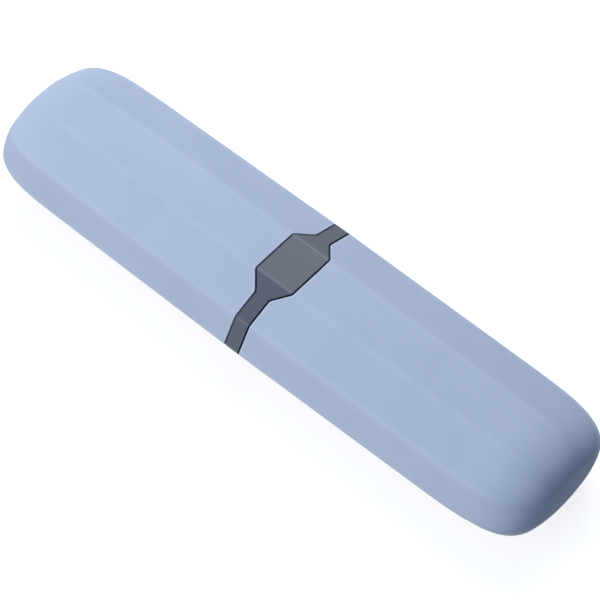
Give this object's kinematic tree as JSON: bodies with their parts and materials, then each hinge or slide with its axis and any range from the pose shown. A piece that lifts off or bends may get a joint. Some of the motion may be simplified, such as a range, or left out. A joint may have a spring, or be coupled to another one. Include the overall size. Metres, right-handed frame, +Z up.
{
  "type": "toothbrush case",
  "caption": "Slim faceted travel case for a toothbrush: a cap shell pulls off a base shell along an inner neck sleeve, which carries a collar ring with a buckle-shaped badge.",
  "frame": {"origin": "on the underside, below the middle of the collar ring", "axes": "+X along the case towards the closed end of the base shell, +Y across the case, +Z up from the flat underside to the badge on top"},
  "size_m": [0.21, 0.0548, 0.0295],
  "materials": {
    "base_shell": "smooth satin moulded, pale blue",
    "cap_shell": "smooth satin moulded, pale blue",
    "collar_ring": "smooth satin moulded, slate",
    "neck_sleeve": "smooth satin moulded, slate"
  },
  "bodies": {
    "base": {"base_shell": "base_shell"},
    "neck": {"neck_sleeve": "neck_sleeve", "collar_ring": "collar_ring"},
    "cap": {"cap_shell": "cap_shell"}
  },
  "joints": [
    {"name": "neck_pull", "type": "slide", "parent": "base", "child": "neck", "axis": [-1, 0, 0], "range_m": [0, 0.03]},
    {"name": "cap_pull", "type": "slide", "parent": "neck", "child": "cap", "axis": [-1, 0, 0], "range_m": [0, 0.12]}
  ]
}
